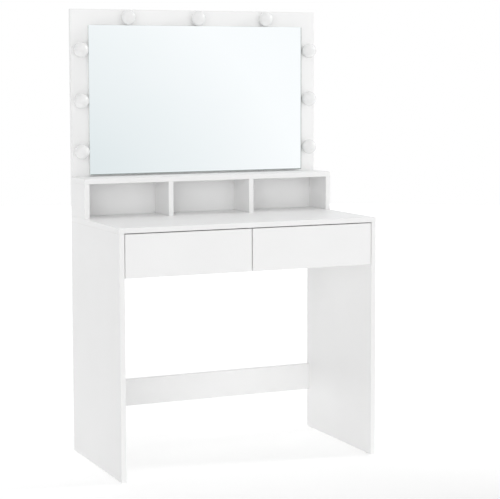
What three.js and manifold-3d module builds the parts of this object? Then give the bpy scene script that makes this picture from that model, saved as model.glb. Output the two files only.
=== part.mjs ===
// A vanity table with two drawers, a low hutch of three compartments and a mirror board with nine lamps.
// Millimetres, +Z up. The front faces -Y, and the origin is on the floor under the middle of the table.
import * as THREE from "three";
import { mergeVertices } from "three/addons/utils/BufferGeometryUtils.js";
import Module from "manifold-3d";

// Overall size
const WIDTH = 800;
const DEPTH = 425;
const HEIGHT = 1325;
const TABLE_HEIGHT = 713;
const BOARD = 15;
const GAP = 0.3;

// Under the table top
const GLIDE_HEIGHT = 3;
const GLIDE_RADIUS = 6.5;
const GLIDE_INSET = 30;
const APRON_HEIGHT = 125;
const STRETCHER_BOTTOM = 126;
const STRETCHER_HEIGHT = 82;

// Hutch
const HUTCH_DEPTH = 115;
const HUTCH_TOP = 830;

// Mirror
const MIRROR_WIDTH = 698;
const MIRROR_BOTTOM = 835;
const MIRROR_TOP = 1278;
const GLASS_THICKNESS = 4;
const CARRIER_THICKNESS = 11;
const CARRIER_INSET = 2;

// Drawers
const FRONT_BOTTOM = 573;
const FRONT_SIDE_GAP = 2;
const FRONT_TOP_GAP = 2.5;
const FRONT_MIDDLE_GAP = 3;
const BOX_LENGTH = 340;
const BOX_BOTTOM = 585;
const BOX_HEIGHT = 88;
const BOX_WALL = 12;
const BOTTOM_THICKNESS = 3;
const BOTTOM_LIFT = 8;
const GROOVE_DEPTH = 5;

// Drawer slides
const SLIDE_SPACE = 12.5;
const SLIDE_STEEL = 1.5;
const SLIDE_LENGTH = 330;
const RAIL_HEIGHT = 36;
const RAIL_FLANGE = 9;
const RUNNER_HEIGHT = 27;
const RUNNER_FLANGE = 8;

// Lamps
const GLOBE_RADIUS = 22.5;
const GLOBE_WALL = 1.6;
const GLOBE_CENTRE = 19;
const RING_RADIUS = 18;
const RING_THICKNESS = 2.5;
const BOSS_RADIUS = 12;
const BOSS_FRONT = 13;
const NECK_RADIUS = 9;
const TOP_LAMP_SPACING = 225;
const SIDE_LAMP_HEIGHTS = [905, 1055, 1205];

// Lamp wiring, in a groove in the back of the mirror board
const CABLE_RADIUS = 2.25;
const CABLE_COVER = 1.5;
const CABLE_BEND = 28;
const GROOVE_WIDTH = 8;
const GROOVE_CUT = 7;
const COUNTERBORE_RADIUS = 13;
const COUNTERBORE_DEPTH = 9;
const INLET_WIDTH = 38;
const INLET_HEIGHT = 44;
const INLET_DEPTH = 9;
const INLET_TOP = 846;
const INLET_ROOM = 1;

// Fineness of the round shapes, how far a cutter overshoots, and the reach within which corners are one
const LATHE_STEPS = 20;
const GLOBE_OUTER_STEPS = 8;
const GLOBE_INNER_STEPS = 6;
const CABLE_STEPS = 72;
const CABLE_SIDES = 8;
const GROOVE_BEND_STEPS = 8;
const OVERSHOOT = 1;
const MERGE_REACH = 0.0001;

// Derived places
const RIGHT = WIDTH / 2;
const INNER = RIGHT - BOARD;
const FRONT = -DEPTH / 2;
const REAR = DEPTH / 2;
const TOP_UNDERSIDE = TABLE_HEIGHT - BOARD;
const BOARD_FACE = REAR - BOARD;
const HUTCH_FRONT = BOARD_FACE - HUTCH_DEPTH;
const FRONT_BACK = FRONT + BOARD;
const SIDE_LAMP_X = (RIGHT + MIRROR_WIDTH / 2) / 2;
const TOP_LAMP_Z = (HEIGHT + MIRROR_TOP) / 2;
const CABLE_Y = REAR - CABLE_COVER - CABLE_RADIUS;
const NECK_LENGTH = CABLE_Y - CABLE_RADIUS - GAP - BOARD_FACE;
const CABLE_START_Z = SIDE_LAMP_HEIGHTS[0] - NECK_RADIUS;

const WHITE_BOARD = { color: 0xf1f1f0, roughness: 0.45, metalness: 0 };
const HARDBOARD = { color: 0xe9e9e6, roughness: 0.6, metalness: 0 };
const STEEL = { color: 0xb8babd, roughness: 0.35, metalness: 0.9 };
const GLASS = { color: 0xdfe7ea, roughness: 0.03, metalness: 1 };
const OPAL = { color: 0xf7f7f5, roughness: 0.3, metalness: 0 };
const WHITE_PLASTIC = { color: 0xeeeeec, roughness: 0.4, metalness: 0 };
const BLACK_PLASTIC = { color: 0x1d1d1f, roughness: 0.55, metalness: 0 };

const wasm = await Module();
wasm.setup();

const vanity = new THREE.Group();

function add(name, geometry, finish) {
  const mesh = new THREE.Mesh(geometry, new THREE.MeshStandardMaterial(finish));
  mesh.name = name;
  vanity.add(mesh);
  return mesh;
}

// A rectangular piece between two opposite corners.
function block(low, high) {
  const size = high.map((value, axis) => value - low[axis]);
  const geometry = new THREE.BoxGeometry(...size);
  geometry.translate(...low.map((value, axis) => value + size[axis] / 2));
  return geometry;
}

// A closed outline in X and Z, extruded along +Y from a given place.
function extrudeBack(shape, startY, length, curveSegments = LATHE_STEPS) {
  const geometry = new THREE.ExtrudeGeometry(shape, { depth: length, bevelEnabled: false, curveSegments });
  geometry.rotateX(Math.PI / 2);
  geometry.translate(0, startY + length, 0);
  return geometry;
}

function outline(points) {
  return new THREE.Shape(points.map(([x, z]) => new THREE.Vector2(x, z)));
}

function toManifold(geometry) {
  const bare = geometry.clone();
  bare.deleteAttribute("normal");
  bare.deleteAttribute("uv");
  const merged = mergeVertices(bare, MERGE_REACH);
  const vertProperties = new Float32Array(merged.attributes.position.array);
  const triVerts = new Uint32Array(merged.index.array);
  return new wasm.Manifold(new wasm.Mesh({ numProp: 3, vertProperties, triVerts }));
}

function fromManifold(solid) {
  const mesh = solid.getMesh();
  const geometry = new THREE.BufferGeometry();
  geometry.setAttribute("position", new THREE.BufferAttribute(mesh.vertProperties, 3));
  geometry.setIndex(new THREE.BufferAttribute(mesh.triVerts, 1));
  geometry.computeVertexNormals();
  return geometry;
}

// Side panels, glides, table top, stretcher, drawer partition and rear rail.
function addFrame() {
  for (const [side, sign] of [["left", -1], ["right", 1]]) {
    const faces = [sign * INNER, sign * RIGHT].sort((a, b) => a - b);
    const panel = block([faces[0], FRONT, GLIDE_HEIGHT], [faces[1], REAR, TOP_UNDERSIDE]);
    add(`${side}_side_panel`, panel, WHITE_BOARD);
    for (const [end, y] of [["front", FRONT + GLIDE_INSET], ["rear", REAR - GLIDE_INSET]]) {
      const glide = new THREE.CylinderGeometry(GLIDE_RADIUS, GLIDE_RADIUS, GLIDE_HEIGHT, LATHE_STEPS);
      glide.rotateX(Math.PI / 2);
      glide.translate(sign * (RIGHT - BOARD / 2), y, GLIDE_HEIGHT / 2);
      add(`${side}_${end}_glide`, glide, WHITE_PLASTIC);
    }
  }
  const railBottom = TOP_UNDERSIDE - APRON_HEIGHT;
  const stretcherTop = STRETCHER_BOTTOM + STRETCHER_HEIGHT;
  add("table_top", block([-RIGHT, FRONT, TOP_UNDERSIDE], [RIGHT, REAR, TABLE_HEIGHT]), WHITE_BOARD);
  const stretcher = block([-INNER, BOARD_FACE, STRETCHER_BOTTOM], [INNER, REAR, stretcherTop]);
  add("rear_stretcher", stretcher, WHITE_BOARD);
  add("rear_rail", block([-INNER, BOARD_FACE, railBottom], [INNER, REAR, TOP_UNDERSIDE]), WHITE_BOARD);
  const partitionLow = [-BOARD / 2, FRONT_BACK + FRONT_MIDDLE_GAP, railBottom];
  add("drawer_partition", block(partitionLow, [BOARD / 2, BOARD_FACE, TOP_UNDERSIDE]), WHITE_BOARD);
}

// The hutch stands on the table top against the mirror board: two sides, two dividers, one top.
function addHutch() {
  const underside = HUTCH_TOP - BOARD;
  const compartment = (WIDTH - 4 * BOARD) / 3;
  const uprights = ["hutch_left_side", "hutch_left_divider", "hutch_right_divider", "hutch_right_side"];
  uprights.forEach((name, index) => {
    const left = -RIGHT + index * (compartment + BOARD);
    const upright = block([left, HUTCH_FRONT, TABLE_HEIGHT], [left + BOARD, BOARD_FACE, underside]);
    add(name, upright, WHITE_BOARD);
  });
  add("hutch_top", block([-RIGHT, HUTCH_FRONT, underside], [RIGHT, BOARD_FACE, HUTCH_TOP]), WHITE_BOARD);
}

// A U-shaped channel on its side: a web against xWeb and two flanges that reach towards the other side.
function channel(xWeb, direction, flange, middleZ, height) {
  const web = xWeb + direction * SLIDE_STEEL;
  const tip = xWeb + direction * flange;
  const half = height / 2;
  const lip = half - SLIDE_STEEL;
  const points = [
    [xWeb, middleZ - half],
    [tip, middleZ - half],
    [tip, middleZ - lip],
    [web, middleZ - lip],
    [web, middleZ + lip],
    [tip, middleZ + lip],
    [tip, middleZ + half],
    [xWeb, middleZ + half],
  ];
  return outline(points);
}

// One drawer with its box, and a fixed rail and a moving runner on each side of it.
function addDrawer(side, sign) {
  const bay = [sign * BOARD / 2, sign * INNER].sort((a, b) => a - b);
  const edges = [sign * FRONT_MIDDLE_GAP / 2, sign * (INNER - FRONT_SIDE_GAP)].sort((a, b) => a - b);
  const frontTop = TOP_UNDERSIDE - FRONT_TOP_GAP;
  const front = block([edges[0], FRONT, FRONT_BOTTOM], [edges[1], FRONT_BACK, frontTop]);
  add(`${side}_drawer_front`, front, WHITE_BOARD);

  const outer = [bay[0] + SLIDE_SPACE, bay[1] - SLIDE_SPACE];
  const boxTop = BOX_BOTTOM + BOX_HEIGHT;
  const boxRear = FRONT_BACK + BOX_LENGTH;
  const bottomLow = BOX_BOTTOM + BOTTOM_LIFT;
  const bottomHigh = bottomLow + BOTTOM_THICKNESS;
  const slideZ = BOX_BOTTOM + BOX_HEIGHT / 2;
  const slideFront = FRONT_BACK + (BOX_LENGTH - SLIDE_LENGTH) / 2;
  const hands = [["left", outer[0], 1, bay[0]], ["right", outer[1], -1, bay[1]]];
  for (const [hand, wall, inward, bayFace] of hands) {
    const inside = wall + inward * BOX_WALL;
    const grooveFloor = inside - inward * GROOVE_DEPTH;
    const section = outline([
      [wall, BOX_BOTTOM],
      [inside, BOX_BOTTOM],
      [inside, bottomLow - GAP],
      [grooveFloor, bottomLow - GAP],
      [grooveFloor, bottomHigh + GAP],
      [inside, bottomHigh + GAP],
      [inside, boxTop],
      [wall, boxTop],
    ]);
    add(`${side}_drawer_${hand}_wall`, extrudeBack(section, FRONT_BACK, BOX_LENGTH), WHITE_BOARD);
    const rail = channel(bayFace, inward, RAIL_FLANGE, slideZ, RAIL_HEIGHT);
    add(`${side}_drawer_${hand}_rail`, extrudeBack(rail, slideFront, SLIDE_LENGTH), STEEL);
    const runner = channel(wall, -inward, RUNNER_FLANGE, slideZ, RUNNER_HEIGHT);
    add(`${side}_drawer_${hand}_runner`, extrudeBack(runner, slideFront, SLIDE_LENGTH), STEEL);
  }
  const backLow = [outer[0] + BOX_WALL, boxRear - BOX_WALL, bottomHigh];
  add(`${side}_drawer_back`, block(backLow, [outer[1] - BOX_WALL, boxRear, boxTop]), WHITE_BOARD);
  const slack = BOX_WALL - GROOVE_DEPTH + GAP;
  const sheet = block([outer[0] + slack, FRONT_BACK, bottomLow], [outer[1] - slack, boxRear, bottomHigh]);
  add(`${side}_drawer_bottom`, sheet, HARDBOARD);
}

// Where each lamp stands on the mirror board.
function lampPlaces() {
  const places = [];
  SIDE_LAMP_HEIGHTS.forEach((z, index) => places.push({ name: `left_${index + 1}`, x: -SIDE_LAMP_X, z }));
  [-1, 0, 1].forEach((step, index) => {
    places.push({ name: `top_${index + 1}`, x: step * TOP_LAMP_SPACING, z: TOP_LAMP_Z });
  });
  SIDE_LAMP_HEIGHTS.forEach((z, index) => places.push({ name: `right_${index + 1}`, x: SIDE_LAMP_X, z }));
  return places;
}

// The route of the lamp cable: up the left lamps, across the top ones and down the right ones.
function cablePath(endZ) {
  const path = new THREE.CurvePath();
  const y = CABLE_Y;
  const bendX = SIDE_LAMP_X - CABLE_BEND;
  const bendZ = TOP_LAMP_Z - CABLE_BEND;
  const corner = (x, z) => new THREE.Vector3(x, y, z);
  const left = [corner(-SIDE_LAMP_X, bendZ), corner(-SIDE_LAMP_X, TOP_LAMP_Z), corner(-bendX, TOP_LAMP_Z)];
  const right = [corner(bendX, TOP_LAMP_Z), corner(SIDE_LAMP_X, TOP_LAMP_Z), corner(SIDE_LAMP_X, bendZ)];
  path.add(new THREE.LineCurve3(corner(-SIDE_LAMP_X, CABLE_START_Z), left[0]));
  path.add(new THREE.QuadraticBezierCurve3(...left));
  path.add(new THREE.LineCurve3(left[2], right[0]));
  path.add(new THREE.QuadraticBezierCurve3(...right));
  path.add(new THREE.LineCurve3(right[2], corner(SIDE_LAMP_X, endZ)));
  return path;
}

// The groove is a U upside down, a little wider than the cable, with round outer corners.
function grooveOutline(endZ) {
  const half = GROOVE_WIDTH / 2;
  const side = SIDE_LAMP_X + half;
  const top = TOP_LAMP_Z + half;
  const innerSide = SIDE_LAMP_X - half;
  const innerTop = TOP_LAMP_Z - half;
  const bend = CABLE_BEND;
  const shape = new THREE.Shape();
  shape.moveTo(-side, CABLE_START_Z - half);
  shape.lineTo(-innerSide, CABLE_START_Z - half);
  shape.lineTo(-innerSide, innerTop - bend);
  shape.quadraticCurveTo(-innerSide, innerTop, -innerSide + bend, innerTop);
  shape.lineTo(innerSide - bend, innerTop);
  shape.quadraticCurveTo(innerSide, innerTop, innerSide, innerTop - bend);
  shape.lineTo(innerSide, endZ);
  shape.lineTo(side, endZ);
  shape.lineTo(side, top - bend);
  shape.quadraticCurveTo(side, top, side - bend, top);
  shape.lineTo(-side + bend, top);
  shape.quadraticCurveTo(-side, top, -side, top - bend);
  shape.closePath();
  return shape;
}

function drill(x, z, radius, startY, length) {
  const tool = new THREE.CylinderGeometry(radius, radius, length, LATHE_STEPS);
  tool.translate(x, startY + length / 2, z);
  return toManifold(tool);
}

// The tall board: bored for the lamps, with the cable groove and the inlet's pocket in its back.
function addMirrorBoard(places) {
  let board = toManifold(block([-RIGHT, BOARD_FACE, TABLE_HEIGHT], [RIGHT, REAR, HEIGHT]));
  for (const { x, z } of places) {
    const bore = drill(x, z, NECK_RADIUS + GAP, BOARD_FACE - OVERSHOOT, BOARD + 2 * OVERSHOOT);
    const counterboreLength = COUNTERBORE_DEPTH + OVERSHOOT;
    const counterbore = drill(x, z, COUNTERBORE_RADIUS, REAR - COUNTERBORE_DEPTH, counterboreLength);
    board = board.subtract(bore).subtract(counterbore);
  }
  const groove = grooveOutline(INLET_TOP);
  const grooveCutter = extrudeBack(groove, REAR - GROOVE_CUT, GROOVE_CUT + OVERSHOOT, GROOVE_BEND_STEPS);
  board = board.subtract(toManifold(grooveCutter));
  const reach = INLET_WIDTH / 2 + INLET_ROOM;
  const inletX = RIGHT - BOARD - INLET_WIDTH / 2;
  const pocketBottom = INLET_TOP - INLET_HEIGHT - INLET_ROOM;
  const pocketLow = [inletX - reach, REAR - INLET_DEPTH - INLET_ROOM, pocketBottom];
  const pocketHigh = [inletX + reach, REAR + OVERSHOOT, INLET_TOP + INLET_ROOM];
  board = board.subtract(toManifold(block(pocketLow, pocketHigh)));
  add("mirror_board", fromManifold(board), WHITE_BOARD);
  const inletLow = [inletX - INLET_WIDTH / 2, REAR - INLET_DEPTH, INLET_TOP - INLET_HEIGHT];
  add("power_inlet", block(inletLow, [inletX + INLET_WIDTH / 2, REAR, INLET_TOP]), BLACK_PLASTIC);
}

function addMirror() {
  const half = MIRROR_WIDTH / 2;
  const carrierFront = BOARD_FACE - CARRIER_THICKNESS;
  const carrierLow = [-half + CARRIER_INSET, carrierFront, MIRROR_BOTTOM + CARRIER_INSET];
  const carrier = block(carrierLow, [half - CARRIER_INSET, BOARD_FACE, MIRROR_TOP - CARRIER_INSET]);
  add("mirror_carrier", carrier, WHITE_BOARD);
  const glassLow = [-half, carrierFront - GLASS_THICKNESS, MIRROR_BOTTOM];
  add("mirror_glass", block(glassLow, [half, carrierFront, MIRROR_TOP]), GLASS);
}

// Points of an arc about the globe's centre, from its foremost point out to the plane of its rim.
function globeArc(radius, steps) {
  const rim = GLOBE_CENTRE - RING_THICKNESS - GAP;
  const sweep = Math.PI / 2 + Math.asin(rim / radius);
  const points = [];
  for (let step = 0; step <= steps; step += 1) {
    const angle = (sweep * step) / steps;
    points.push(new THREE.Vector2(radius * Math.sin(angle), -GLOBE_CENTRE - radius * Math.cos(angle)));
  }
  return points;
}

// A lamp is an opal globe, open at the back, on a base. The base's ring lies on the board and its neck
// goes through the board.
function addLamp({ name, x, z }) {
  const outside = globeArc(GLOBE_RADIUS, GLOBE_OUTER_STEPS);
  const inside = globeArc(GLOBE_RADIUS - GLOBE_WALL, GLOBE_INNER_STEPS).reverse();
  const globe = new THREE.LatheGeometry([...outside, ...inside], LATHE_STEPS);
  globe.translate(x, BOARD_FACE, z);
  add(`lamp_globe_${name}`, globe, OPAL);
  const profile = [
    new THREE.Vector2(0, -BOSS_FRONT),
    new THREE.Vector2(BOSS_RADIUS, -BOSS_FRONT),
    new THREE.Vector2(BOSS_RADIUS, -RING_THICKNESS),
    new THREE.Vector2(RING_RADIUS, -RING_THICKNESS),
    new THREE.Vector2(RING_RADIUS, 0),
    new THREE.Vector2(NECK_RADIUS, 0),
    new THREE.Vector2(NECK_RADIUS, NECK_LENGTH),
    new THREE.Vector2(0, NECK_LENGTH),
  ];
  const base = new THREE.LatheGeometry(profile, LATHE_STEPS);
  base.translate(x, BOARD_FACE, z);
  add(`lamp_base_${name}`, base, WHITE_PLASTIC);
}

function addCable() {
  const section = new THREE.Shape();
  section.absarc(0, 0, CABLE_RADIUS, 0, Math.PI * 2);
  const settings = {
    steps: CABLE_STEPS,
    curveSegments: CABLE_SIDES,
    bevelEnabled: false,
    extrudePath: cablePath(INLET_TOP + GAP),
  };
  add("lamp_cable", new THREE.ExtrudeGeometry(section, settings), WHITE_PLASTIC);
}

const lamps = lampPlaces();
addFrame();
addHutch();
addDrawer("left", -1);
addDrawer("right", 1);
addMirrorBoard(lamps);
addMirror();
lamps.forEach(addLamp);
addCable();

export default vanity;
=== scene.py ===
"""Vanity table with a mirror and lamps: the looks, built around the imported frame.

Everything is in metres, with +Z up and the front towards -Y."""
import math

import bmesh
import bpy
from mathutils import Matrix, Vector


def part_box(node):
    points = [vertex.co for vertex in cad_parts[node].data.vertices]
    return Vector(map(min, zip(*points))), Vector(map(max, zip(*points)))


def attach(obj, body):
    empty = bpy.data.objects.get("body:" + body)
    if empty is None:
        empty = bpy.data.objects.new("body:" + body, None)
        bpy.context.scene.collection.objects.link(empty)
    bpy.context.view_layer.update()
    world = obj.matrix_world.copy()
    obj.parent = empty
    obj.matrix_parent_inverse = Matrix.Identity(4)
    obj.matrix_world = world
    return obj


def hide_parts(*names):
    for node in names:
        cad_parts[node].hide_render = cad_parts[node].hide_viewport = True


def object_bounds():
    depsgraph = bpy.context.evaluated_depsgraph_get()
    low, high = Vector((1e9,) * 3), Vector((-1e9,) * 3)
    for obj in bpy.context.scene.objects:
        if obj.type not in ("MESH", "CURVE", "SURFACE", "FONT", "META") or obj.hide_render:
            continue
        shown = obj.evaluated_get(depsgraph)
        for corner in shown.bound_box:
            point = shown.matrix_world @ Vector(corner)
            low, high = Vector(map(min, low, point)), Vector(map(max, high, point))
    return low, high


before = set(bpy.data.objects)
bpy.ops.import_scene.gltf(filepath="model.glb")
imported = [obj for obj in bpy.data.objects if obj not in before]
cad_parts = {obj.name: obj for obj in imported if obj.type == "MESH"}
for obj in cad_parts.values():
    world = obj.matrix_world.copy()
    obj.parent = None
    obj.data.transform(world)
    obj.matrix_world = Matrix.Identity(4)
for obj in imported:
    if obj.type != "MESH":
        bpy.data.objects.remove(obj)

CAD_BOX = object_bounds()
MM = 0.001
TABLE = "table"
SIDES = ("left", "right")
BACK = Vector((0, 1, 0))
OUT = Vector((0, -1, 0))
LAMPS = [f"{side}_{number}" for side in ("left", "top", "right") for number in (1, 2, 3)]

# Camera: to the left of the front, a little above the table, looking slightly down
CAMERA_PLACE = Vector((-1.8338, -4.2483, 1.1336))
CAMERA_YAW = math.radians(24.35)
CAMERA_PITCH = math.radians(5.31)
CAMERA_ROLL = math.radians(0.13)
CAMERA_LENS = 112.96
CAMERA_SENSOR = 36.0
CAMERA_SHIFT_Y = -0.06

# Boards
EDGE_RADIUS = 0.7 * MM
BAND_THICKNESS = 0.8 * MM
GLUE_LINE = 0.14 * MM
GLIDE_ROUNDING = 1.2 * MM

# Cam locks and screws
RECESS = 0.25 * MM
SLOT_DEPTH = 0.9 * MM
CAM_RADIUS = 7.5 * MM
CAM_DEPTH = 1.2 * MM
CAM_ROUNDING = 0.3 * MM
CAM_SLOT_WIDTH = 1.5 * MM
CAM_CLEARANCE = 0.2 * MM
CAM_FROM_END = 34 * MM
CAM_FROM_PANEL_EDGE = 70 * MM
SCREW_RADIUS = 3.6 * MM
SCREW_DEPTH = 1.6 * MM
SCREW_RIM = 0.35 * MM
SCREW_DOME = 1.4 * MM
SCREW_SLOT_WIDTH = 0.7 * MM
SCREW_CLEARANCE = 0.3 * MM
SINK_DEPTH = 2.2 * MM
BACK_SCREWS_X = (-300 * MM, -100 * MM, 100 * MM, 300 * MM)
BACK_SCREW_FROM_FOOT = 45 * MM
BACK_SCREW_FROM_SIDE = 7.5 * MM

# Drawers and their slides
WALL_SCREW_FROM_FOOT = 24 * MM
WALL_SCREW_FROM_TOP = 14 * MM
STEEL_ROUNDING = 0.4 * MM
SLIDE_WEB = 1.5 * MM
SLIDE_SCREW_RADIUS = 3 * MM
SLIDE_SCREW_SHARES = (0.12, 0.5, 0.88)
BALLS_IN_ROW = 6
BALL_FILL = 0.92
FIRST_BALL = 14 * MM
BALL_SPACING = 9 * MM
CAGE_START = 8 * MM
CAGE_END = 66 * MM
CAGE_HALF_WIDTH = 0.9 * MM
CAGE_HALF_THICKNESS = 0.3 * MM

# Mirror
MIRROR_ARRIS = 0.5 * MM
# Width of the face's border; along the right and lower edges it is painted dark as shade
MIRROR_BORDER = 1.5 * MM

# Lamps
GLOBE_WALL = 1.6 * MM
RING_HEIGHT = 2.5 * MM
BOSS_RADIUS = 12 * MM
BASE_FILLET = 0.8 * MM
NECK_RADIUS = 9 * MM
NECK_HOLE_RADIUS = 9.3 * MM
THREAD_TURNS = 5
THREAD_PITCH = 1.3 * MM
THREAD_WIDTH = 0.7 * MM
THREAD_DEPTH = 0.5 * MM
COUNTERBORE_RADIUS = 13 * MM
COUNTERBORE_DEPTH = 9 * MM
NUT_RADIUS = 12 * MM
NUT_HOLE_RADIUS = 9.1 * MM
NUT_START = 6.2 * MM
NUT_END = 8.6 * MM
LED_COUNT = 6
LED_CIRCLE = 7 * MM
LED_LIFT = 0.4 * MM
LED_HALF = Vector((1.4, 1.4, 0.35)) * MM

# Lamp cable and inlet
CABLE_BEND = 28 * MM
CORE_RADIUS = 1.15 * MM
CORE_FROM_MIDDLE = 1.08 * MM
GROOVE_HALF = 4 * MM
GROOVE_DEPTH = 7 * MM
TAP_HALF = 6.5 * MM
SADDLES_X = (-110 * MM, 112 * MM)
SADDLE_HALF_LENGTH = 2 * MM
SADDLE_HALF_WIDTH = 3.8 * MM
SOCKET_DROP = 6 * MM
SOCKET_RADIUS = 4 * MM
SOCKET_DEPTH = 7 * MM
SOCKET_MOUTH_RADIUS = 6.5 * MM
SOCKET_MOUTH_DEPTH = 0.8 * MM
PIN_RADIUS = 1.2 * MM
PIN_ROUNDING = 0.6 * MM
PIN_FOOT = 7.2 * MM
PIN_TIP = 0.8 * MM
INLET_SCREW_RADIUS = 2.5 * MM
INLET_SCREW_FROM_MIDDLE = 13 * MM
INLET_SCREW_FROM_TOP = 8 * MM

# Floor. Its glow rises from front to back, and again far out: each as low, high, start and end
FLOOR_RADIUS = 9.0
FLOOR_GLOW_NEAR = (0.06, 0.41, -1.4, 0.1)
FLOOR_GLOW_FAR = (0.0, 0.45, 3.0, 7.5)

# Light: an even room with brighter walls at the front left, in front and behind, and a bright ceiling.
# Each is given as azimuth, elevation, falloff and strength. Then what the mirror shows of the room.
EVEN_LIGHT = 0.28
BRIGHT_WALLS = (
    (-33.0, 4.0, 16.0, 2.95),
    (10.0, 5.0, 16.0, 1.3),
    (180.0, 20.0, 4.0, 0.4),
    (0.0, 90.0, 4.0, 1.1),
)
KEY_AZIMUTH = 77.0
KEY_ELEVATION = 27.0
KEY_DISTANCE = 8.0
KEY_SIZE = 0.8
KEY_POWER = 128.0
PATCH_AZIMUTH = 13.0
PATCH_ELEVATION = -9.0
PATCH_EDGES = (0.06, 0.25)
PATCH_COLOUR = (0.66, 0.74, 0.76)
WALL_COLOUR = (1.02, 1.035, 1.05)


# ---------------------------------------------------------------- materials

def new_material(name):
    material = bpy.data.materials.new(name)
    material.use_nodes = True
    tree = material.node_tree
    return material, tree, tree.nodes["Principled BSDF"]


def coordinates(tree, stretch=(1.0, 1.0, 1.0)):
    """Object coordinates in metres, stretched along the axes."""
    source = tree.nodes.new("ShaderNodeTexCoord")
    mapping = tree.nodes.new("ShaderNodeMapping")
    mapping.inputs["Scale"].default_value = stretch
    tree.links.new(source.outputs["Object"], mapping.inputs["Vector"])
    return mapping.outputs["Vector"]


def noise(tree, vector, scale, detail=3.0):
    texture = tree.nodes.new("ShaderNodeTexNoise")
    texture.inputs["Scale"].default_value = scale
    texture.inputs["Detail"].default_value = detail
    texture.inputs["Roughness"].default_value = 0.5
    tree.links.new(vector, texture.inputs["Vector"])
    return texture.outputs["Fac"]


def cells(tree, vector, scale):
    texture = tree.nodes.new("ShaderNodeTexVoronoi")
    texture.inputs["Scale"].default_value = scale
    tree.links.new(vector, texture.inputs["Vector"])
    return texture.outputs["Distance"]


def ramp(tree, factor, low, high, start=0.3, end=0.7):
    """A colour that runs from low to high as the factor goes from start to end."""
    node = tree.nodes.new("ShaderNodeValToRGB")
    node.color_ramp.elements[0].position = start
    node.color_ramp.elements[1].position = end
    node.color_ramp.elements[0].color = (*low, 1.0)
    node.color_ramp.elements[1].color = (*high, 1.0)
    tree.links.new(factor, node.inputs["Fac"])
    return node.outputs["Color"]


def spread(tree, factor, low, high, start=0.3, end=0.7):
    """A number that runs from low to high as the factor goes from start to end."""
    node = tree.nodes.new("ShaderNodeMapRange")
    node.inputs["From Min"].default_value = start
    node.inputs["From Max"].default_value = end
    node.inputs["To Min"].default_value = low
    node.inputs["To Max"].default_value = high
    tree.links.new(factor, node.inputs["Value"])
    return node.outputs["Result"]


def bump(tree, height, distance, strength=1.0, under=None):
    node = tree.nodes.new("ShaderNodeBump")
    node.inputs["Strength"].default_value = strength
    node.inputs["Distance"].default_value = distance
    tree.links.new(height, node.inputs["Height"])
    if under is not None:
        tree.links.new(under, node.inputs["Normal"])
    return node.outputs["Normal"]


def surface(name, low, high, rough, grain, relief, stretch=(1.0, 1.0, 1.0), cloud=6.0, chips=None):
    """A surface with a faint cloud of two colours, uneven roughness and a fine relief.

    grain is the relief's scale per metre, relief its height in metres. Where chips is given, the
    two colours follow chips of that scale and not a cloud."""
    material, tree, shader = new_material(name)
    vector = coordinates(tree, stretch)
    if chips is None:
        colour = ramp(tree, noise(tree, vector, cloud), low, high)
    else:
        colour = ramp(tree, cells(tree, vector, chips), low, high, 0.1, 0.6)
    tree.links.new(colour, shader.inputs["Base Color"])
    tree.links.new(spread(tree, noise(tree, vector, grain / 4), *rough), shader.inputs["Roughness"])
    broad = bump(tree, noise(tree, vector, grain / 6), relief * 1.5)
    fine = bump(tree, noise(tree, vector, grain, 4.0), relief, under=broad)
    tree.links.new(fine, shader.inputs["Normal"])
    return material, tree, shader


def melamine():
    material, _, shader = surface(
        "melamine_white", (0.912, 0.912, 0.910), (0.928, 0.928, 0.927), (0.36, 0.46), 900.0, 0.05 * MM)
    shader.inputs["Specular IOR Level"].default_value = 0.35
    return material


def edge_band():
    """Plastic edging, a little glossier than the faces."""
    material, _, shader = surface(
        "edge_band_white", (0.905, 0.905, 0.902), (0.921, 0.921, 0.919), (0.28, 0.36), 500.0, 0.03 * MM)
    shader.inputs["Specular IOR Level"].default_value = 0.4
    return material


def glue_line():
    material, _, _ = surface(
        "glue_line", (0.50, 0.49, 0.46), (0.62, 0.61, 0.58), (0.5, 0.7), 2000.0, 0.02 * MM, cloud=400.0)
    return material


def chipboard():
    """The pressed chips that a bored hole lays bare."""
    material, _, _ = surface(
        "chipboard", (0.30, 0.20, 0.12), (0.62, 0.49, 0.33), (0.7, 0.9), 700.0, 0.3 * MM, chips=450.0)
    return material


def hardboard():
    material, _, _ = surface(
        "hardboard_white", (0.80, 0.80, 0.79), (0.84, 0.84, 0.83), (0.45, 0.6), 350.0, 0.08 * MM, cloud=14.0)
    return material


def silvering():
    """The mirror's face. Float glass is a little uneven, and never quite clean."""
    material, tree, shader = new_material("mirror_silver")
    vector = coordinates(tree)
    tint = ramp(tree, noise(tree, vector, 3.0), (0.925, 0.945, 0.945), (0.94, 0.955, 0.955))
    tree.links.new(tint, shader.inputs["Base Color"])
    tree.links.new(spread(tree, noise(tree, vector, 40.0, 6.0), 0.0, 0.012), shader.inputs["Roughness"])
    tree.links.new(bump(tree, noise(tree, vector, 5.0, 1.0), 0.01 * MM, 0.3), shader.inputs["Normal"])
    shader.inputs["Metallic"].default_value = 1.0
    return material


def ground_edge():
    """The ground edge of the glass, matt and pale."""
    material, _, shader = surface(
        "glass_edge", (0.62, 0.68, 0.665), (0.70, 0.755, 0.74), (0.25, 0.4), 1500.0, 0.02 * MM, cloud=90.0)
    shader.inputs["Specular IOR Level"].default_value = 0.6
    return material


def mirror_painted_edge_shade():
    """Dark green-grey painted on the right and lower strips of the mirror's face: painted shade that stands
    in for the glass's own edge seen through the glass from the left, and for the shadow in the gap below.
    """
    material, _, shader = surface(
        "mirror_painted_edge_shade", (0.16, 0.20, 0.19), (0.22, 0.26, 0.25), (0.05, 0.12), 1500.0, 0.01 * MM, cloud=60.0)
    shader.inputs["Specular IOR Level"].default_value = 0.5
    return material


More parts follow.
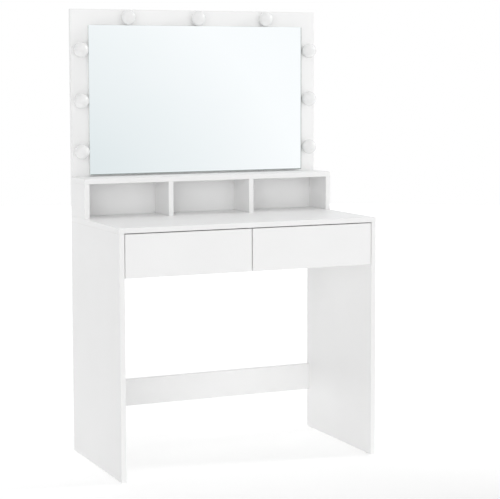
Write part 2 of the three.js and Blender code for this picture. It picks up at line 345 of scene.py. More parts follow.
def opal():
    material, _, shader = surface(
        "opal_diffuser", (0.89, 0.89, 0.885), (0.905, 0.905, 0.90), (0.2, 0.27), 400.0, 0.01 * MM)
    shader.inputs["Subsurface Weight"].default_value = 0.2
    shader.inputs["Subsurface Radius"].default_value = (1.0, 0.95, 0.9)
    shader.inputs["Subsurface Scale"].default_value = 0.004
    shader.inputs["Coat Weight"].default_value = 0.15
    shader.inputs["Coat Roughness"].default_value = 0.12
    return material


def white_plastic(name, rough):
    material, _, _ = surface(
        name, (0.82, 0.82, 0.81), (0.85, 0.85, 0.845), rough, 1100.0, 0.03 * MM, cloud=60.0)
    return material


def black_plastic():
    material, _, _ = surface(
        "inlet_black", (0.012, 0.012, 0.013), (0.022, 0.022, 0.024), (0.45, 0.6), 1600.0, 0.06 * MM,
        cloud=200.0)
    return material


def zinc():
    """Rolled, zinc-plated steel, with the marks of the rolls along its length."""
    material, _, shader = surface(
        "zinc_steel", (0.50, 0.51, 0.53), (0.66, 0.67, 0.68), (0.25, 0.42), 260.0, 0.02 * MM,
        stretch=(6.0, 0.4, 6.0), cloud=40.0)
    shader.inputs["Metallic"].default_value = 1.0
    return material


def cast_zinc():
    material, _, shader = surface(
        "cast_zinc", (0.42, 0.43, 0.45), (0.58, 0.59, 0.61), (0.3, 0.5), 900.0, 0.05 * MM, cloud=300.0)
    shader.inputs["Metallic"].default_value = 1.0
    return material


def led_phosphor():
    material, _, _ = surface(
        "led_phosphor", (0.80, 0.62, 0.10), (0.88, 0.72, 0.18), (0.3, 0.4), 1800.0, 0.02 * MM, cloud=900.0)
    return material


MELAMINE = melamine()
EDGE_BAND = edge_band()
GLUE = glue_line()
CHIPBOARD = chipboard()
HARDBOARD = hardboard()
SILVER = silvering()
GLASS_EDGE = ground_edge()
# Painted shade for the mirror's right and lower border
MIRROR_PAINTED_EDGE_SHADE = mirror_painted_edge_shade()
OPAL = opal()
BASE_PLASTIC = white_plastic("lamp_base_white", (0.35, 0.5))
GLIDE_PLASTIC = white_plastic("glide_white", (0.3, 0.4))
SHEATH = white_plastic("cable_sheath_white", (0.4, 0.55))
BLACK = black_plastic()
ZINC = zinc()
CAST = cast_zinc()
PHOSPHOR = led_phosphor()
BOARD_SKINS = (MELAMINE, EDGE_BAND, GLUE, CHIPBOARD)


# ---------------------------------------------------------------- mesh tools

def piece_from(bm, name, materials):
    mesh = bpy.data.meshes.new(name)
    bmesh.ops.recalc_face_normals(bm, faces=bm.faces)
    bm.to_mesh(mesh)
    bm.free()
    for material in materials:
        mesh.materials.append(material)
    piece = bpy.data.objects.new(name, mesh)
    bpy.context.scene.collection.objects.link(piece)
    return piece


def place(piece, body, slot, *nodes):
    """The piece rides on its body and stands for the CAD nodes, which are hidden. The slot is not used."""
    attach(piece, body)
    if nodes:
        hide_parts(*nodes)
    return piece


def smooth(piece, angle=32.0):
    piece.data.shade_smooth()
    piece.data.set_sharp_from_angle(angle=math.radians(angle))
    return piece


def even_normals(piece):
    """Flat faces stay flat beside the rounded edges."""
    piece.data.shade_smooth()
    modifier = piece.modifiers.new("even_normals", "WEIGHTED_NORMAL")
    modifier.weight = 100
    modifier.keep_sharp = True
    return piece


def box_mesh(low, high):
    bm = bmesh.new()
    size = Vector(high) - Vector(low)
    middle = (Vector(high) + Vector(low)) / 2
    bmesh.ops.create_cube(bm, size=1.0, matrix=Matrix.Translation(middle) @ Matrix.Diagonal((*size, 1.0)))
    return bm


def round_edges(bm, radius, segments=3, angle=30.0):
    sharp = [e for e in bm.edges if len(e.link_faces) == 2 and e.calc_face_angle() > math.radians(angle)]
    bmesh.ops.bevel(bm, geom=sharp, offset=radius, segments=segments, profile=0.5, affect="EDGES",
                    clamp_overlap=True)


def band_faces(bm, thin_axis):
    """The two broad faces of a board: melamine inside, a glue line, then the edging's own thickness."""
    for face in bm.faces:
        face.material_index = 1
    broad = [f for f in bm.faces if abs(f.normal[thin_axis]) > 0.99]
    for face in broad:
        bmesh.ops.inset_region(bm, faces=[face], thickness=BAND_THICKNESS, use_even_offset=True)
        rim = bmesh.ops.inset_region(bm, faces=[face], thickness=GLUE_LINE, use_even_offset=True)
        for line in rim["faces"]:
            line.material_index = 2
        face.material_index = 0


def board(node, body=TABLE, name=None):
    """A banded board that fills its CAD node's box."""
    low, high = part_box(node)
    size = high - low
    bm = box_mesh(low, high)
    round_edges(bm, EDGE_RADIUS)
    band_faces(bm, min(range(3), key=lambda axis: size[axis]))
    piece = piece_from(bm, name or node.replace("_panel", "") + "_board", BOARD_SKINS)
    return even_normals(place(piece, body, "white_melamine", node))


def cad_copy(node, radius, segments=2):
    """A clean copy of a CAD node's mesh with its edges rounded."""
    bm = bmesh.new()
    bm.from_mesh(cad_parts[node].data)
    bmesh.ops.remove_doubles(bm, verts=bm.verts, dist=0.001 * MM)
    bmesh.ops.dissolve_limit(bm, angle_limit=math.radians(1.0), verts=bm.verts, edges=bm.edges)
    round_edges(bm, radius, segments)
    return bm


def turned(profile, steps=48):
    """A solid of revolution about Z from (radius, height) points that start and end on the axis."""
    bm = bmesh.new()
    rings = []
    for radius, height in profile:
        if radius < 1e-9:
            rings.append([bm.verts.new((0.0, 0.0, height))])
            continue
        ring = []
        for step in range(steps):
            angle = 2 * math.pi * step / steps
            ring.append(bm.verts.new((radius * math.cos(angle), radius * math.sin(angle), height)))
        rings.append(ring)
    for lower, upper in zip(rings, rings[1:]):
        for step in range(steps):
            after = (step + 1) % steps
            corners = [lower[step % len(lower)], lower[after % len(lower)],
                       upper[after % len(upper)], upper[step % len(upper)]]
            unique = list(dict.fromkeys(corners))
            if len(unique) > 2:
                bm.faces.new(unique)
    return bm


def bridge(bm, rings):
    """Joins rings of as many vertices each into a closed prism."""
    count = len(rings[0])
    for first, second in zip(rings, rings[1:]):
        for index in range(count):
            after = (index + 1) % count
            bm.faces.new((first[index], first[after], second[after], second[index]))
    bm.faces.new(rings[0])
    bm.faces.new(rings[-1])
    bmesh.ops.recalc_face_normals(bm, faces=bm.faces)


def pointing(direction, place_at):
    """The matrix that turns +Z to direction and moves the origin."""
    turn = Vector(direction).to_track_quat("Z", "Y").to_matrix().to_4x4()
    return Matrix.Translation(place_at) @ turn


def facing(bm, direction, place_at):
    """Turns a mesh made along +Z so that it points along direction, and moves it."""
    bmesh.ops.transform(bm, matrix=pointing(direction, place_at), verts=bm.verts)
    return bm


def merged(parts):
    """Several bmeshes as one."""
    whole = bmesh.new()
    for part in parts:
        mesh = bpy.data.meshes.new("part")
        part.to_mesh(mesh)
        part.free()
        whole.from_mesh(mesh)
        bpy.data.meshes.remove(mesh)
    return whole


def carve(piece, bm, cut_material=3):
    """Cuts a closed mesh out of the piece; the cut faces take the given material."""
    for face in bm.faces:
        face.material_index = cut_material
    cutter = piece_from(bm, "cutter", list(piece.data.materials))
    modifier = piece.modifiers.new("cut", "BOOLEAN")
    modifier.operation = "DIFFERENCE"
    modifier.solver = "EXACT"
    modifier.object = cutter
    depsgraph = bpy.context.evaluated_depsgraph_get()
    others = [other for other in piece.modifiers if other != modifier]
    for other in others:
        other.show_viewport = False
    depsgraph.update()
    carved = bpy.data.meshes.new_from_object(piece.evaluated_get(depsgraph))
    for other in others:
        other.show_viewport = True
    piece.modifiers.remove(modifier)
    piece.data = carved
    bpy.data.objects.remove(cutter)
    return piece


def arc(centre, radius, start, end, steps):
    """Points of an arc in the plane of (radius, height), angles in degrees."""
    points = []
    for step in range(steps + 1):
        angle = math.radians(start + (end - start) * step / steps)
        points.append((centre[0] + radius * math.cos(angle), centre[1] + radius * math.sin(angle)))
    return points


# ---------------------------------------------------------------- small fittings

def cross_cutter(length, width, depth, top):
    """A plus-shaped prism that cuts a cross slot of the given depth below top."""
    long = length / 2
    short = width / 2
    quarter = [(long, -short), (long, short), (short, short)]
    bm = bmesh.new()
    rings = []
    for height in (top - depth, top + depth):
        ring = []
        for turn in range(4):
            for x, y in quarter:
                for _ in range(turn):
                    x, y = -y, x
                ring.append(bm.verts.new((x, y, height)))
        rings.append(ring)
    bridge(bm, rings)
    return bm


def screw(name, body, at, direction, radius=SCREW_RADIUS, sunk=True):
    """A cross-head screw's head, flush in its sink or domed on a surface. at is the surface point."""
    if sunk:
        top = 0.0
        profile = [(0.0, -SCREW_DEPTH), (radius * 0.55, -SCREW_DEPTH), (radius, -SCREW_RIM), (radius, 0.0)]
    else:
        top = SCREW_DOME
        profile = [(0.0, 0.0), (radius, 0.0)]
        profile += [(radius * x, top * y) for x, y in arc((0.0, 0.0), 1.0, 10, 90, 6)[:-1]]
    profile.append((0.0, top))
    head = piece_from(turned(profile, 24), name, (CAST,))
    carve(head, cross_cutter(radius * 1.1, SCREW_SLOT_WIDTH, SLOT_DEPTH, top), 0)
    head.data.transform(pointing(direction, at))
    return smooth(place(head, body, "zinc_steel"), 25.0)


def cam_lock(name, body, at, direction):
    """A cam lock's round face with its cross slot, just under the board's face."""
    profile = [(0.0, -CAM_DEPTH), (CAM_RADIUS, -CAM_DEPTH)]
    profile += arc((CAM_RADIUS - CAM_ROUNDING, -CAM_ROUNDING), CAM_ROUNDING, 0, 90, 4)
    profile.append((0.0, 0.0))
    lock = piece_from(turned(profile, 40), name, (CAST,))
    carve(lock, cross_cutter(CAM_RADIUS * 1.25, CAM_SLOT_WIDTH, SLOT_DEPTH, 0.0), 0)
    lock.data.transform(pointing(direction, Vector(at) - RECESS * Vector(direction)))
    return smooth(place(lock, body, "zinc_steel"), 25.0)


def disc_cutter(at, direction, radius, depth):
    """A short cylinder that starts outside a face and goes depth into it."""
    profile = [(0.0, -depth), (radius, -depth), (radius, 1.0 * MM), (0.0, 1.0 * MM)]
    return facing(turned(profile, 40), direction, at)


def add_cams(owner, body, prefix, places, direction):
    """Cam locks let into a board at the given points of one face."""
    for number, at in enumerate(places, 1):
        carve(owner, disc_cutter(at, direction, CAM_RADIUS + CAM_CLEARANCE, CAM_DEPTH + RECESS))
        cam_lock(f"{prefix}_cam_{number}", body, at, direction)


def add_screws(owner, body, prefix, places, direction):
    """Countersunk screws let into a board at the given points of one face."""
    for number, at in enumerate(places, 1):
        carve(owner, disc_cutter(at, direction, SCREW_RADIUS + SCREW_CLEARANCE, SINK_DEPTH))
        screw(f"{prefix}_screw_{number}", body, Vector(at) - RECESS * Vector(direction), direction)


# ---------------------------------------------------------------- table

def build_frame():
    for side, sign in (("left", -1), ("right", 1)):
        panel = board(f"{side}_side_panel")
        low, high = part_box(f"{side}_side_panel")
        inner = high.x if sign < 0 else low.x
        rows = (low.y + CAM_FROM_PANEL_EDGE, high.y - CAM_FROM_PANEL_EDGE)
        places = [(inner, y, high.z - CAM_FROM_END) for y in rows]
        add_cams(panel, TABLE, f"{side}_side_panel", places, (-sign, 0, 0))
        for end in ("front", "rear"):
            glide(f"{side}_{end}_glide")
    board("table_top")
    board("drawer_partition")
    for node in ("rear_stretcher", "rear_rail"):
        rail = board(node)
        low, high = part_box(node)
        rows = [low.z + (high.z - low.z) * share for share in (0.25, 0.75)]
        ends = (low.x + CAM_FROM_END, high.x - CAM_FROM_END)
        places = [(x, high.y, z) for x in ends for z in rows]
        add_cams(rail, TABLE, node, places, BACK)


def glide(node):
    """A turned floor glide with a rounded foot."""
    low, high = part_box(node)
    radius = (high.x - low.x) / 2
    height = high.z - low.z
    profile = [(0.0, 0.0), (radius - GLIDE_ROUNDING, 0.0)]
    profile += arc((radius - GLIDE_ROUNDING, GLIDE_ROUNDING), GLIDE_ROUNDING, -90, 0, 6)[1:]
    profile += [(radius, height), (0.0, height)]
    bm = turned(profile)
    middle = (low + high) / 2
    bmesh.ops.translate(bm, vec=(middle.x, middle.y, low.z), verts=bm.verts)
    piece = piece_from(bm, node + "_foot", (GLIDE_PLASTIC,))
    smooth(place(piece, TABLE, "glide_plastic", node))


def build_hutch():
    for part in ("left_side", "left_divider", "right_divider", "right_side", "top"):
        board(f"hutch_{part}")


# ---------------------------------------------------------------- drawers

def build_drawer(side):
    body = f"{side}_drawer"
    board(f"{side}_drawer_front", body)
    board(f"{side}_drawer_back", body)
    for hand in SIDES:
        drawer_wall(side, hand)
        for member, owner in (("rail", TABLE), ("runner", body)):
            node = f"{side}_drawer_{hand}_{member}"
            steel = piece_from(cad_copy(node, STEEL_ROUNDING), node + "_steel", (ZINC,))
            even_normals(place(steel, owner, "zinc_steel", node))
        slide_fittings(side, hand)
    bottom_node = f"{side}_drawer_bottom"
    bottom = piece_from(cad_copy(bottom_node, 0.3 * MM), bottom_node + "_sheet", (HARDBOARD,))
    even_normals(place(bottom, body, "hardboard", bottom_node))


def drawer_wall(side, hand):
    """A side of the drawer box: banded edges, a cam lock at the front and two screws into the back."""
    node = f"{side}_drawer_{hand}_wall"
    body = f"{side}_drawer"
    low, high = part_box(node)
    bm = cad_copy(node, 0.5 * MM)
    for face in bm.faces:
        face.material_index = 1 if abs(face.normal.z) > 0.7 or abs(face.normal.y) > 0.7 else 0
    wall = even_normals(place(piece_from(bm, node + "_board", BOARD_SKINS), body, "white_melamine", node))
    inward = 1 if hand == "left" else -1
    inner = high.x if inward > 0 else low.x
    outer = low.x if inward > 0 else high.x
    middle = (low.z + high.z) / 2
    add_cams(wall, body, node, [(inner, low.y + CAM_FROM_END, middle)], (inward, 0, 0))
    back_low, back_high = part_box(f"{side}_drawer_back")
    y = (back_low.y + back_high.y) / 2
    places = [(outer, y, low.z + WALL_SCREW_FROM_FOOT), (outer, y, high.z - WALL_SCREW_FROM_TOP)]
    add_screws(wall, body, node, places, (-inward, 0, 0))


def slide_fittings(side, hand):
    """Screws in the rail and runner, and the front ball cage that lies between them."""
    rail_low, rail_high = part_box(f"{side}_drawer_{hand}_rail")
    run_low, run_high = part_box(f"{side}_drawer_{hand}_runner")
    inward = 1 if hand == "left" else -1
    middle = (rail_low.z + rail_high.z) / 2
    rail_x = (rail_low.x if inward > 0 else rail_high.x) + inward * SLIDE_WEB
    run_x = (run_high.x if inward > 0 else run_low.x) - inward * SLIDE_WEB
    for number, share in enumerate(SLIDE_SCREW_SHARES, 1):
        y = rail_low.y + (rail_high.y - rail_low.y) * share
        screw(f"{side}_drawer_{hand}_rail_screw_{number}", TABLE,
              (rail_x, y, middle), (inward, 0, 0), SLIDE_SCREW_RADIUS, False)
        screw(f"{side}_drawer_{hand}_runner_screw_{number}", f"{side}_drawer",
              (run_x, y, middle), (-inward, 0, 0), SLIDE_SCREW_RADIUS, False)
    overlap_x = (max(rail_low.x, run_low.x) + min(rail_high.x, run_high.x)) / 2
    gaps = ((rail_high.z - SLIDE_WEB + run_high.z) / 2, (rail_low.z + SLIDE_WEB + run_low.z) / 2)
    ball_radius = (rail_high.z - SLIDE_WEB - run_high.z) / 2 * BALL_FILL
    parts = []
    for z in gaps:
        for number in range(BALLS_IN_ROW):
            ball = bmesh.new()
            bmesh.ops.create_uvsphere(ball, u_segments=16, v_segments=10, radius=ball_radius)
            y = rail_low.y + FIRST_BALL + BALL_SPACING * number
            bmesh.ops.translate(ball, vec=(overlap_x, y, z), verts=ball.verts)
            parts.append(ball)
        strip = box_mesh((overlap_x - CAGE_HALF_WIDTH, rail_low.y + CAGE_START, z - CAGE_HALF_THICKNESS),
                         (overlap_x + CAGE_HALF_WIDTH, rail_low.y + CAGE_END, z + CAGE_HALF_THICKNESS))
        parts.append(strip)
    cage = piece_from(merged(parts), f"{side}_drawer_{hand}_ball_cage", (CAST,))
    smooth(place(cage, TABLE, "zinc_steel"))


# ---------------------------------------------------------------- mirror and lamps

def lamp_centre(lamp):
    low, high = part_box(f"lamp_base_{lamp}")
    return (low + high) / 2


def rounded_route(left, right, top, bend, start_z, end_z, steps=10):
    """An upside-down U in X and Z: up the left side, across the top and down the right side."""
    corners = [Vector(point) for point in ((left, start_z), (left, top), (right, top), (right, end_z))]
    points = [tuple(corners[0])]
    for before, corner, after in zip(corners, corners[1:], corners[2:]):
        backward = (before - corner).normalized() * bend
        forward = (after - corner).normalized() * bend
        for step in range(steps + 1):
            t = step / steps
            points.append(tuple(corner + backward * (1 - t) ** 2 + forward * t ** 2))
    points.append(tuple(corners[-1]))
    return points


def swept(route, section):
    """A closed solid: the section (across, depth) carried along the route in X and Z; depth is along Y."""
    bm = bmesh.new()
    rings = []
    for index, point in enumerate(route):
        before = Vector(route[max(index - 1, 0)])
        after = Vector(route[min(index + 1, len(route) - 1)])
        along = (after - before).normalized()
        across = Vector((-along.y, along.x))
        ring = []
        for side, depth in section:
            ring.append(bm.verts.new((point[0] + across.x * side, depth, point[1] + across.y * side)))
        rings.append(ring)
    bridge(bm, rings)
    return bm


def cable_route(extra=0.0):
    """The middle line of the lamp cable, from the CAD cable's box. extra lengthens both ends."""
    low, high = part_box("lamp_cable")
    radius = (high.y - low.y) / 2
    start_z = lamp_centre("left_1").z - NECK_RADIUS - extra
    return rounded_route(low.x + radius, high.x - radius, high.z - radius, CABLE_BEND, start_z, low.z - extra)


def build_mirror_board():
    """The board behind the mirror, with its lamp holes, cable groove, inlet pocket and screws."""
    low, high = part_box("mirror_board")
    piece = board("mirror_board", name="mirror_board_bored")
    rear = high.y
    hole = NECK_HOLE_RADIUS
    start = -20 * MM
    end = -5 * MM
    through = [(0.0, start), (hole, start), (hole, end), (0.0, end)]
    for lamp in LAMPS:
        centre = lamp_centre(lamp)
        at = (centre.x, rear, centre.z)
        carve(piece, disc_cutter(at, BACK, COUNTERBORE_RADIUS, COUNTERBORE_DEPTH))
        carve(piece, facing(turned(through, 40), BACK, at))
    groove = [(-GROOVE_HALF, rear - GROOVE_DEPTH), (GROOVE_HALF, rear - GROOVE_DEPTH),
              (GROOVE_HALF, rear + 1 * MM), (-GROOVE_HALF, rear + 1 * MM)]
    carve(piece, swept(cable_route(GROOVE_HALF), groove))
    inlet_low, inlet_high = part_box("power_inlet")
    room = Vector((1, 1, 1)) * MM
    carve(piece, box_mesh(inlet_low - room, inlet_high + room))
    top_low, top_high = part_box("hutch_top")
    line = (top_low.z + top_high.z) / 2
    places = [(x, rear, line) for x in BACK_SCREWS_X]
    foot_z = low.z + BACK_SCREW_FROM_FOOT
    places += [(x, rear, foot_z) for x in (low.x + BACK_SCREW_FROM_SIDE, high.x - BACK_SCREW_FROM_SIDE)]
    add_screws(piece, TABLE, "mirror_board", places, BACK)


def build_mirror():
    """A silvered pane with ground edges. A dark border is painted on the right and lower edges of its face:
    painted shade for the glass's edge seen through it from the left, and for the gap below.
    """
    low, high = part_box("mirror_glass")
    bm = box_mesh(low, high)
    edges = [e for e in bm.edges if all(abs(v.co.y - low.y) < 1e-6 for v in e.verts)]
    bmesh.ops.bevel(bm, geom=edges, offset=MIRROR_ARRIS, segments=1, profile=0.5, affect="EDGES")
    for face in bm.faces:
        face.material_index = 1
    front = max(bm.faces, key=lambda face: -face.normal.y * face.calc_area())
    front.material_index = 0
    middle = (low + high) / 2
    border = bmesh.ops.inset_region(bm, faces=[front], thickness=MIRROR_BORDER, use_even_offset=True)
    # The right and lower strips of the border take the painted dark edge shade; the others stay silver
    for face in border["faces"]:
        away = face.calc_center_median() - middle
        far = away.x > 0.9 * (high.x - middle.x) or away.z < -0.9 * (high.z - middle.z)
        face.material_index = 2 if far else 0
    glass = piece_from(bm, "mirror_glass_pane", (SILVER, GLASS_EDGE, MIRROR_PAINTED_EDGE_SHADE))
    place(glass, TABLE, "mirror_glass", "mirror_glass")
    carrier = piece_from(cad_copy("mirror_carrier", 0.5 * MM), "mirror_carrier_board", (MELAMINE,))
    even_normals(place(carrier, TABLE, "white_melamine", "mirror_carrier"))


def build_lamp(lamp):
    """An opal globe on a ringed base, with its neck, hexagon nut and cable tap behind the board."""
    base_low, base_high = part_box(f"lamp_base_{lamp}")
    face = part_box("mirror_board")[0].y
    at = Vector(((base_low.x + base_high.x) / 2, face, (base_low.z + base_high.z) / 2))
    lamp_globe(lamp, at)
    lamp_base(lamp, at)
    lamp_nut(lamp, at)
    lamp_tap(lamp, at)
    lamp_leds(lamp, at, face - base_low.y)


def lamp_globe(lamp, at):
    """A thin opal shell, open where it sits on its base."""
    low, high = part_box(f"lamp_globe_{lamp}")
    radius = (high.x - low.x) / 2
    centre = at.y - low.y - radius
    rim_height = at.y - high.y
    rim = math.degrees(math.asin((rim_height - centre) / radius))
    inner = radius - GLOBE_WALL
    inner_rim = math.degrees(math.asin((rim_height - centre) / inner))
    profile = [(0.0, centre + inner)] + arc((0.0, centre), inner, 90, inner_rim, 20)[1:]
    profile += arc((0.0, centre), radius, rim, 90, 28)[:-1] + [(0.0, centre + radius)]
    globe = piece_from(facing(turned(profile, 64), OUT, at), f"lamp_{lamp}_opal_globe", (OPAL,))
    smooth(place(globe, TABLE, "opal_plastic", f"lamp_globe_{lamp}"), 50.0)


def lamp_base(lamp, at):
    """A ring and boss in front of the board, and a threaded neck through it."""
    low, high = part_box(f"lamp_base_{lamp}")
    ring = (high.x - low.x) / 2
    neck_end = -(high.y - at.y)
    boss_height = at.y - low.y
    fillet = BASE_FILLET
    profile = [(0.0, neck_end), (NECK_RADIUS - fillet, neck_end)]
    profile += arc((NECK_RADIUS - fillet, neck_end + fillet), fillet, -90, 0, 4)[1:]
    for turn in range(THREAD_TURNS):
        z = neck_end + fillet + (turn + 0.5) * THREAD_PITCH
        profile += [(NECK_RADIUS, z), (NECK_RADIUS - THREAD_DEPTH, z + THREAD_WIDTH / 2),
                    (NECK_RADIUS, z + THREAD_WIDTH)]
    profile += [(NECK_RADIUS, -0.4 * MM), (NECK_RADIUS, 0.0), (ring, 0.0)]
    profile += arc((ring - fillet, RING_HEIGHT - fillet), fillet, 0, 90, 5)
    profile += [(BOSS_RADIUS, RING_HEIGHT), (BOSS_RADIUS, boss_height - fillet)]
    profile += arc((BOSS_RADIUS - fillet, boss_height - fillet), fillet, 0, 90, 4)[1:]
    profile.append((0.0, boss_height))
    base = piece_from(facing(turned(profile, 48), OUT, at), f"lamp_{lamp}_base", (BASE_PLASTIC,))
    smooth(place(base, TABLE, "lamp_base_plastic", f"lamp_base_{lamp}"), 28.0)


def lamp_leds(lamp, at, height):
    """Small light-emitting chips in a ring on the base's boss."""
    chips = []
    for number in range(LED_COUNT):
        angle = 2 * math.pi * number / LED_COUNT
        middle = Vector((LED_CIRCLE * math.cos(angle), LED_CIRCLE * math.sin(angle), height + LED_LIFT))
        chip = box_mesh(middle - LED_HALF, middle + LED_HALF)
        round_edges(chip, 0.15 * MM, 1)
        chips.append(chip)
    leds = piece_from(facing(merged(chips), OUT, at), f"lamp_{lamp}_leds", (PHOSPHOR,))
    place(leds, TABLE, "lamp_base_plastic")


def lamp_nut(lamp, at):
    """A hexagon nut on the neck, in the counterbore."""
    bm = bmesh.new()
    rings = []
    steps = 48
    for outer, depth in ((False, NUT_START), (True, NUT_START), (True, NUT_END), (False, NUT_END)):
        ring = []
        for step in range(steps):
            angle = 2 * math.pi * step / steps
            from_flat = (angle % (math.pi / 3)) - math.pi / 6
            hexagon = NUT_RADIUS * math.cos(math.pi / 6) / math.cos(from_flat)
            radius = hexagon if outer else NUT_HOLE_RADIUS
            ring.append(bm.verts.new((radius * math.cos(angle), radius * math.sin(angle), depth)))
        rings.append(ring)
    for lower, upper in zip(rings, rings[1:] + rings[:1]):
        for step in range(steps):
            after = (step + 1) % steps
            bm.faces.new((lower[step], lower[after], upper[after], upper[step]))
    bmesh.ops.recalc_face_normals(bm, faces=bm.faces)
    round_edges(bm, 0.25 * MM, 1, 50.0)
    nut = piece_from(facing(bm, BACK, at), f"lamp_{lamp}_nut", (BASE_PLASTIC,))
    smooth(place(nut, TABLE, "lamp_base_plastic"), 28.0)


def lamp_tap(lamp, at):
    """The snap-on block that taps the cable behind the lamp."""
    low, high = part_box("lamp_cable")
    half = Vector((TAP_HALF, 0.0, TAP_HALF))
    near = Vector((at.x, low.y - 0.2 * MM, at.z)) - half
    far = Vector((at.x, high.y + 0.6 * MM, at.z)) + half
    bm = box_mesh(near, far)
    round_edges(bm, 0.8 * MM, 3)
    tap = piece_from(bm, f"lamp_{lamp}_cable_tap", (BASE_PLASTIC,))
    even_normals(place(tap, TABLE, "lamp_base_plastic"))


def build_cable():
    """A flat twin cable: two sheathed cores side by side."""
    low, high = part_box("lamp_cable")
    depth = (low.y + high.y) / 2
    section = arc((CORE_FROM_MIDDLE, depth), CORE_RADIUS, -150, 150, 8)
    section += arc((-CORE_FROM_MIDDLE, depth), CORE_RADIUS, 30, 330, 8)
    cable = piece_from(swept(cable_route(), section), "lamp_twin_cable", (SHEATH,))
    smooth(place(cable, TABLE, "cable_sheath", "lamp_cable"), 50.0)
    saddles = []
    radius = (high.y - low.y) / 2
    top = high.z - radius
    left = low.x + radius
    places = [(x, top, SADDLE_HALF_LENGTH, SADDLE_HALF_WIDTH) for x in SADDLES_X]
    heights = [lamp_centre(f"left_{number}").z for number in (1, 2, 3)]
    for below, above in zip(heights, heights[1:]):
        for x in (left, -left):
            places.append((x, (below + above) / 2, SADDLE_HALF_WIDTH, SADDLE_HALF_LENGTH))
    for x, z, half_x, half_z in places:
        saddle = box_mesh((x - half_x, high.y - 1.0 * MM, z - half_z),
                          (x + half_x, high.y + 0.4 * MM, z + half_z))
        round_edges(saddle, 0.5 * MM, 2)
        saddles.append(saddle)
    clips = piece_from(merged(saddles), "cable_saddles", (BASE_PLASTIC,))
    even_normals(place(clips, TABLE, "lamp_base_plastic"))


def build_inlet():
    """The black inlet block with its round socket and pin, and two screws."""
    low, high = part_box("power_inlet")
    bm = box_mesh(low, high)
    round_edges(bm, 1.0 * MM, 3)
    inlet = piece_from(bm, "power_inlet_block", (BLACK,))
    middle = (low + high) / 2
    socket = Vector((middle.x, high.y, middle.z - SOCKET_DROP))
    carve(inlet, disc_cutter(socket, BACK, SOCKET_RADIUS, SOCKET_DEPTH), 0)
    carve(inlet, disc_cutter(socket, BACK, SOCKET_MOUTH_RADIUS, SOCKET_MOUTH_DEPTH), 0)
    even_normals(place(inlet, TABLE, "black_plastic", "power_inlet"))
    shoulder = -(PIN_TIP + PIN_ROUNDING)
    profile = [(0.0, -PIN_FOOT), (PIN_RADIUS, -PIN_FOOT), (PIN_RADIUS, shoulder)]
    profile += arc((PIN_RADIUS - PIN_ROUNDING, shoulder), PIN_ROUNDING, 0, 90, 4)[1:]
    profile.append((0.0, -PIN_TIP))
    pin = piece_from(facing(turned(profile, 24), BACK, socket), "power_inlet_pin", (ZINC,))
    smooth(place(pin, TABLE, "zinc_steel"))
    for number, sign in enumerate((-1, 1), 1):
        at = Vector((middle.x + sign * INLET_SCREW_FROM_MIDDLE, high.y, high.z - INLET_SCREW_FROM_TOP))
        carve(inlet, disc_cutter(at, BACK, INLET_SCREW_RADIUS + SCREW_CLEARANCE, SINK_DEPTH), 0)
        screw(f"power_inlet_screw_{number}", TABLE, at - RECESS * BACK, BACK, INLET_SCREW_RADIUS)


# ---------------------------------------------------------------- stage, light, camera

def build_stage():
    """A wide, plain, pale floor that brightens towards the back, and into the white all round."""
    bm = turned([(0.0, -2 * MM), (FLOOR_RADIUS, -2 * MM), (FLOOR_RADIUS, 0.0), (0.0, 0.0)], 96)
    material, tree, shader = surface(
        "floor_pale", (0.79, 0.79, 0.79), (0.81, 0.81, 0.81), (0.7, 0.8), 60.0, 0.02 * MM, cloud=2.0)
    along = tree.nodes.new("ShaderNodeSeparateXYZ")
    tree.links.new(coordinates(tree), along.inputs["Vector"])
    distance = tree.nodes.new("ShaderNodeVectorMath")
    distance.operation = "LENGTH"
    tree.links.new(coordinates(tree), distance.inputs[0])
    near = spread(tree, along.outputs["Y"], *FLOOR_GLOW_NEAR)
    far = spread(tree, distance.outputs["Value"], *FLOOR_GLOW_FAR)
    tree.links.new(calculated(tree, "ADD", near, far), shader.inputs["Emission Strength"])
    shader.inputs["Emission Color"].default_value = (1.0, 1.0, 1.0, 1.0)
    shader.inputs["Specular IOR Level"].default_value = 0.1
    floor = piece_from(bm, "floor", (material,))


def towards(azimuth, elevation):
    """The direction at the given degrees: azimuth from the front towards +X, elevation upwards."""
    a = math.radians(azimuth)
    e = math.radians(elevation)
    return Vector((math.sin(a) * math.cos(e), -math.cos(a) * math.cos(e), math.sin(e)))


def calculated(tree, operation, first, second):
    """The result of a maths node; each side is a socket or a number."""
    node = tree.nodes.new("ShaderNodeMath")
    node.operation = operation
    for socket, value in zip(node.inputs, (first, second)):
        if isinstance(value, float):
            socket.default_value = value
        else:
            tree.links.new(value, socket)
    return node.outputs[0]


def from_direction(tree, source, operation, direction, output):
    """How far the looked-at direction is from a given one."""
    node = tree.nodes.new("ShaderNodeVectorMath")
    node.operation = operation
    node.inputs[1].default_value = direction
    tree.links.new(source.outputs["Generated"], node.inputs[0])
    return node.outputs[output]


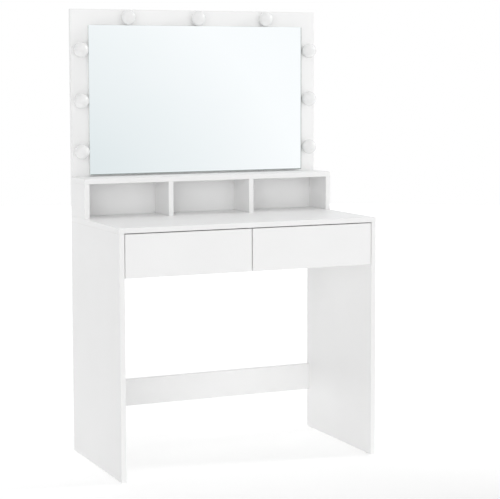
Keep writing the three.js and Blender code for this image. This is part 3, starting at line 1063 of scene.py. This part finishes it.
def build_world():
    """A white room. Matt surfaces get an even light and a broad bright wall at the front left.

    The mirror gets a pale wall with one soft cool patch to reflect, and the camera sees plain white."""
    world = bpy.data.worlds.new("studio")
    world.use_nodes = True
    bpy.context.scene.world = world
    tree = world.node_tree
    source = tree.nodes.new("ShaderNodeTexCoord")

    matt = tree.nodes["Background"]
    matt.inputs["Color"].default_value = (1.0, 1.0, 1.0, 1.0)
    level = EVEN_LIGHT
    for azimuth, elevation, falloff, strength in BRIGHT_WALLS:
        facing_wall = from_direction(tree, source, "DOT_PRODUCT", towards(azimuth, elevation), "Value")
        lobe = calculated(tree, "POWER", calculated(tree, "MAXIMUM", facing_wall, 0.0), falloff)
        level = calculated(tree, "ADD", calculated(tree, "MULTIPLY", lobe, strength), level)
    tree.links.new(level, matt.inputs["Strength"])

    reflected = tree.nodes.new("ShaderNodeBackground")
    away = from_direction(tree, source, "DISTANCE", towards(PATCH_AZIMUTH, PATCH_ELEVATION), "Value")
    cool = ramp(tree, away, PATCH_COLOUR, WALL_COLOUR, *PATCH_EDGES)
    tree.links.new(cool, reflected.inputs["Color"])
    reflected.inputs["Strength"].default_value = 1.0

    plain = tree.nodes.new("ShaderNodeBackground")
    plain.inputs["Color"].default_value = (1.0, 1.0, 1.0, 1.0)

    seen = tree.nodes.new("ShaderNodeLightPath")
    shiny = tree.nodes.new("ShaderNodeMixShader")
    tree.links.new(seen.outputs["Is Glossy Ray"], shiny.inputs["Fac"])
    tree.links.new(matt.outputs["Background"], shiny.inputs[1])
    tree.links.new(reflected.outputs["Background"], shiny.inputs[2])
    whole = tree.nodes.new("ShaderNodeMixShader")
    tree.links.new(seen.outputs["Is Camera Ray"], whole.inputs["Fac"])
    tree.links.new(shiny.outputs["Shader"], whole.inputs[1])
    tree.links.new(plain.outputs["Background"], whole.inputs[2])
    tree.links.new(whole.outputs["Shader"], tree.nodes["World Output"].inputs["Surface"])


def softbox(name, azimuth, elevation, distance, size, power):
    """A square soft light, aimed at the middle of the table. Azimuth is from the front, towards +X."""
    light = bpy.data.lights.new(name, "AREA")
    light.size = size
    light.energy = power
    lamp = bpy.data.objects.new(name, light)
    bpy.context.scene.collection.objects.link(lamp)
    back = towards(azimuth, elevation)
    aim = (CAD_BOX[0] + CAD_BOX[1]) / 2
    lamp.location = aim + back * distance
    lamp.rotation_mode = "QUATERNION"
    lamp.rotation_quaternion = back.to_track_quat("Z", "Y")


def build_camera():
    data = bpy.data.cameras.new("camera")
    data.lens = CAMERA_LENS
    data.sensor_width = CAMERA_SENSOR
    data.shift_y = CAMERA_SHIFT_Y
    data.clip_end = 60.0
    camera = bpy.data.objects.new("camera", data)
    bpy.context.scene.collection.objects.link(camera)
    turn = Matrix.Rotation(-CAMERA_YAW, 4, "Z") @ Matrix.Rotation(math.pi / 2 - CAMERA_PITCH, 4, "X")
    camera.matrix_world = Matrix.Translation(CAMERA_PLACE) @ turn @ Matrix.Rotation(-CAMERA_ROLL, 4, "Z")
    bpy.context.scene.camera = camera


build_camera()
build_frame()
build_hutch()
for side in SIDES:
    build_drawer(side)
build_mirror_board()
build_mirror()
for lamp in LAMPS:
    build_lamp(lamp)
build_cable()
build_inlet()
build_stage()
build_world()
softbox("key_right", KEY_AZIMUTH, KEY_ELEVATION, KEY_DISTANCE, KEY_SIZE, KEY_POWER)
bpy.context.scene.view_settings.view_transform = "Standard"
